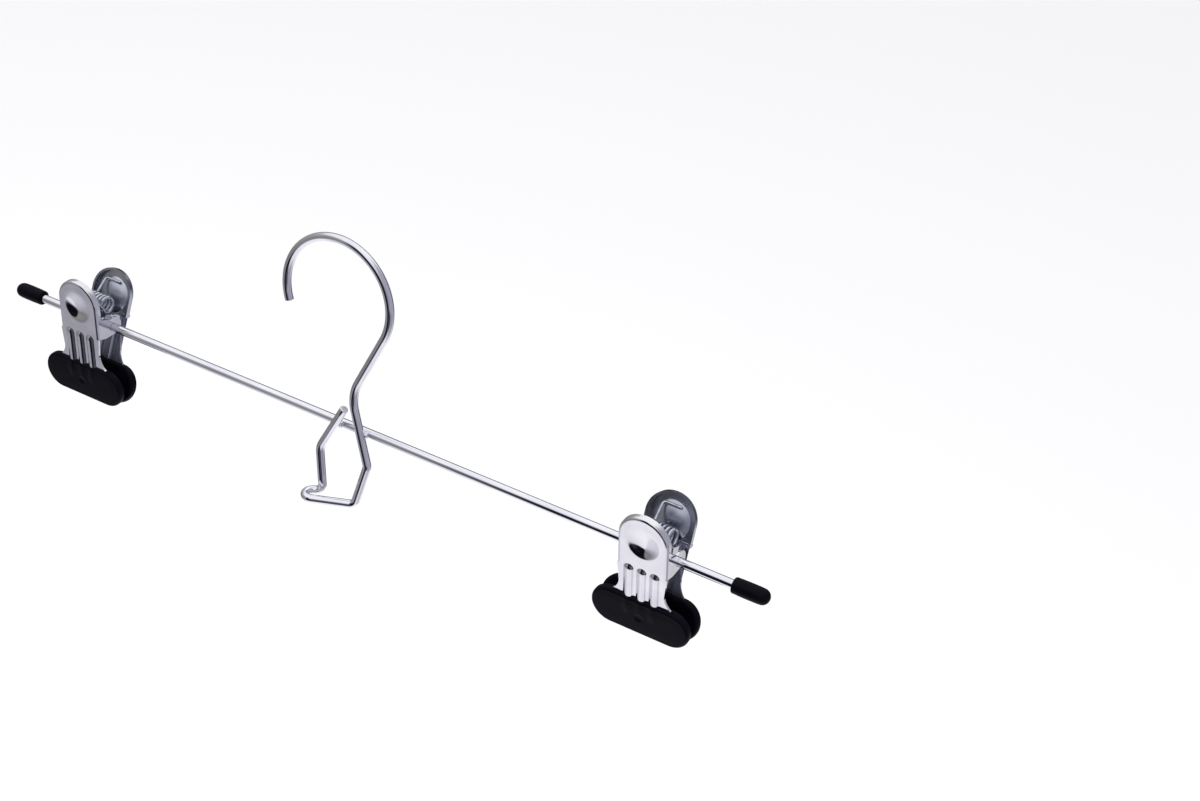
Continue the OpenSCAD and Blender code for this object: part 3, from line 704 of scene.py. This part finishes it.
coil_radii = [SPRING_D / 2] * len(coil_line)
for side_name, place in clip_places.items():
    coil = sweep(
        f"{side_name}_spring_coil", coil_line, coil_radii, SPRING_SIDES, zinc_and_shade_on_spring, place,
    )
    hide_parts(f"{side_name}_spring")
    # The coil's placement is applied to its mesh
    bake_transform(coil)
    for jaw, sign in (("front", 1), ("rear", -1)):
        line = leg_line(sign)
        leg_radii = [SPRING_D / 2] * (len(line) - 1) + [SPRING_D / 2 - SPRING_END_ROUND]
        leg = sweep(
            f"{side_name}_spring_{jaw}_leg", line, leg_radii, SPRING_SIDES, zinc_and_shade_on_spring, place,
        )
        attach(leg, f"{side_name}_{jaw}_jaw")

# Clip leaves
# Each is one pressing of 0.9 mm steel sheet, chromium plated after forming: a thumb
# dish, three flutes, a turned-in rim, and two ears bored for the rod. A fine skin over
# the outer face carries what the dies leave: soft-edged dish, flutes with domed ends.
LEAF_W, TOP_Z, SHEET_BEND_R = 20, 11.4, 1.05
FLUTE_PITCH, FLUTE_TOP_Z, FLUTE_H, FLUTE_R = 5.25, 1.4, 0.85, 2.65
FLUTE_SOFT = 0.06
FACE_DISH_DEPTH, FACE_DISH_LOW = 1.3, 2.6
# A faint swell runs round the dish: its height, its distance from the dish and its width
SWELL_H, SWELL_OUT, SWELL_W = 0.012, 0.6, 0.35
FACE_PROUD, FACE_T = 0.02, 0.25
FACE_HALF_W = LEAF_W / 2 - SHEET_BEND_R
FACE_LOW_Z, FACE_TOP_IN = -18, 0.02
FLUTE_HALF_W = math.sqrt(FLUTE_R ** 2 - (FLUTE_R - FLUTE_H) ** 2)


def soft_above(value, softness):
    """The value where it is above 0, with a rounded start instead of a corner."""
    return (value + math.sqrt(value * value + softness * softness)) / 2


def face_relief(x, z):
    """How far the outer face stands proud of the flat sheet; the dish is below it."""
    # The hollow is a scoop: its deepest place lies FACE_DISH_LOW below the middle, and
    # its depth goes by how far out towards the rim a place is, seen from there
    off = math.hypot(x, z - DISH_Z)
    up_by = z - DISH_Z + FACE_DISH_LOW
    from_low = max(math.hypot(x, up_by), SAME_SPOT)
    along_up = FACE_DISH_LOW * up_by / from_low
    to_rim = along_up + math.sqrt(DISH_R ** 2 - FACE_DISH_LOW ** 2 + along_up ** 2)
    hollow = FACE_DISH_DEPTH * max(0, 1 - (from_low / to_rim) ** 2) ** 2
    swell = SWELL_H * math.exp(-(((off - DISH_R - SWELL_OUT) / SWELL_W) ** 2))
    flutes = 0
    for i in (-1, 0, 1):
        off_line = math.hypot(x - i * FLUTE_PITCH, max(0, z + FLUTE_TOP_Z + FLUTE_HALF_W))
        if off_line < FLUTE_R:
            drop = FLUTE_R - math.sqrt(FLUTE_R ** 2 - off_line ** 2)
            flutes = max(flutes, soft_above(FLUTE_H - drop, FLUTE_SOFT))
    return flutes + swell - hollow


FACE_COLUMNS, FACE_ROWS = 84, 150
face_points = []
for back in (False, True):
    for j in range(FACE_ROWS + 1):
        z = FACE_LOW_Z + (TOP_Z + FACE_HALF_W - FACE_TOP_IN - FACE_LOW_Z) * j / FACE_ROWS
        half = FACE_HALF_W if z < TOP_Z else math.sqrt(FACE_HALF_W ** 2 - (z - TOP_Z) ** 2)
        for i in range(FACE_COLUMNS + 1):
            x = half * (2 * i / FACE_COLUMNS - 1)
            inset = FACE_T if back else 0
            face_points.append((x, inset - LEAF_OFF - SHEET_T / 2 - FACE_PROUD - face_relief(x, z), z))
row = FACE_COLUMNS + 1
behind_by = row * (FACE_ROWS + 1)
face_faces = []
for j in range(FACE_ROWS):
    for i in range(FACE_COLUMNS):
        a = j * row + i
        face_faces.append((a, a + 1, a + row + 1, a + row))
        face_faces.append(tuple(k + behind_by for k in (a, a + row, a + row + 1, a + 1)))
edge_loop = list(range(FACE_COLUMNS))
edge_loop += [j * row + FACE_COLUMNS for j in range(FACE_ROWS)]
edge_loop += [FACE_ROWS * row + i for i in range(FACE_COLUMNS, 0, -1)]
edge_loop += [j * row for j in range(FACE_ROWS, 0, -1)]
for a, b in zip(edge_loop, edge_loop[1:] + edge_loop[:1]):
    face_faces.append((a, b, b + behind_by, a + behind_by))

# The rear leaf is the front one's mirror image
leaf_leans = {
    "front": Matrix.Rotation(LEAN, 4, "X"),
    "rear": Matrix.Rotation(-LEAN, 4, "X") @ Matrix.Scale(-1, 4, (0, 1, 0)),
}
for jaw, inward in (("front", (0, 1, 0)), ("rear", (0, -1, 0))):
    # Pressing stretches the sheet, so its mirror is soft and gently uneven: swells 5 mm
    # wide and 0.05 mm deep
    # Faces turned inward, towards the other leaf, get painted shade: a slate grey tint
    sheet_chrome = bright_plate(
        f"bright_chromium_on_{jaw}_pressing", ("#D6D5DC", "#E8E7EC"), (0.06, 0.13),
        haze_mm=9, grain_mm=5, grain_depth_mm=0.05, shaded_side=inward,
    )
    for side_name, place in clip_places.items():
        leaf = nodes[f"{side_name}_{jaw}_leaf"]
        leaf.data.materials.clear()
        leaf.data.materials.append(sheet_chrome)
        leaf_face = make_piece(
            f"{side_name}_{jaw}_leaf_face", face_points, face_faces, sheet_chrome,
            place @ leaf_leans[jaw], sharp_deg=60,
        )
        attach(leaf_face, f"{side_name}_{jaw}_jaw")

# Pads
# Soft vinyl sleeves, dip-moulded and pushed up over the jaw plates. Their edges are
# round, the flutes and the plate's edge show through as low ridges, and the face has
# one small dent.
JAW_W, JAW_H, PAD_EDGE_T, PAD_ROUND_R = 38.4, 14.4, 0.8, 1.2
DENT_R, DENT_DEPTH, DENT_SOFT = 1.3, 0.35, 0.22
DENT_LIP_H, DENT_LIP_OUT, DENT_LIP_W = 0.06, 0.7, 0.5
PAD_END_X = JAW_W / 2 - JAW_H / 2
PAD_END_R = JAW_H / 2 + PAD_EDGE_T
PAD_MID_Z = -(PAD_BOTTOM_Z - PAD_EDGE_T - JAW_H / 2)
CROWN_H, CROWN_IN = 0.12, 2.5
CREASE_IN, CREASE_W, CREASE_DEPTH = 2.1, 0.7, 0.03
RIDGE_H, RIDGE_W = 0.32, 1.25
# Below this height above the pad's middle the ridges fade out, over this length
RIDGE_LOW, RIDGE_FADE = 1.6, 0.7

# The outline as a middle line and outward directions: top row, right end, bottom, left
ROW_STEPS, END_STEPS = 60, 28
outline = [(PAD_END_X * (2 * k / ROW_STEPS - 1), math.pi / 2) for k in range(ROW_STEPS)]
outline += [(PAD_END_X, math.pi / 2 - math.pi * k / END_STEPS) for k in range(END_STEPS)]
outline += [(PAD_END_X * (1 - 2 * k / ROW_STEPS), -math.pi / 2) for k in range(ROW_STEPS)]
outline += [(-PAD_END_X, -math.pi / 2 - math.pi * k / END_STEPS) for k in range(END_STEPS)]
# Rings from the middle of the outer face over the edge to the middle of the inner one
FACE_RINGS, ROUND_RINGS = 20, 7
flat_half = PAD_T / 2 - PAD_ROUND_R
half_rings = [
    (PAD_END_R - (PAD_END_R - PAD_ROUND_R) * k / FACE_RINGS, PAD_T / 2, 1.0)
    for k in range(FACE_RINGS)
]
for k in range(ROUND_RINGS + 1):
    turn = math.pi / 2 * (1 - k / ROUND_RINGS)
    half_rings.append((
        PAD_ROUND_R * (1 - math.cos(turn)), flat_half + PAD_ROUND_R * math.sin(turn), math.sin(turn),
    ))
rings = [(inset, -off, weight) for inset, off, weight in half_rings]
rings += [(inset, off, 0.0) for inset, off, weight in reversed(half_rings)]


def pad_relief(x, up_by, inset):
    """How far the pad's outer face stands proud at a place, up_by above its middle."""
    crown = CROWN_H * (1 - math.exp(-((inset / CROWN_IN) ** 2)))
    ridges = sum(math.exp(-(((x - i * FLUTE_PITCH) / RIDGE_W) ** 2)) for i in (-1, 0, 1))
    fade = 1 / (1 + math.exp(-(up_by - RIDGE_LOW) / RIDGE_FADE))
    crease = math.exp(-(((inset - CREASE_IN) / CREASE_W) ** 2))
    off_dent = math.hypot(x, up_by)
    dent = 1 / (1 + math.exp((off_dent - DENT_R) / DENT_SOFT))
    lip = math.exp(-(((off_dent - DENT_R - DENT_LIP_OUT) / DENT_LIP_W) ** 2))
    raised = crown + RIDGE_H * ridges * fade - CREASE_DEPTH * crease
    return raised - DENT_DEPTH * dent + DENT_LIP_H * lip


pad_points = []
for inset, off, weight in rings:
    for mid_x, turn in outline:
        reach = PAD_END_R - inset
        x = mid_x + reach * math.cos(turn)
        up_by = reach * math.sin(turn)
        y = off - weight * pad_relief(x, up_by, inset)
        pad_points.append((x, y - LEAF_OFF, PAD_MID_Z + up_by))
pad_faces = ring_faces(len(rings), len(outline))
for side_name, place in clip_places.items():
    for jaw in ("front", "rear"):
        pad = make_piece(
            f"{side_name}_{jaw}_vinyl_pad", pad_points, pad_faces, vinyl,
            place @ leaf_leans[jaw], sharp_deg=60,
        )
        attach(pad, f"{side_name}_{jaw}_jaw")
        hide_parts(f"{side_name}_{jaw}_pad")
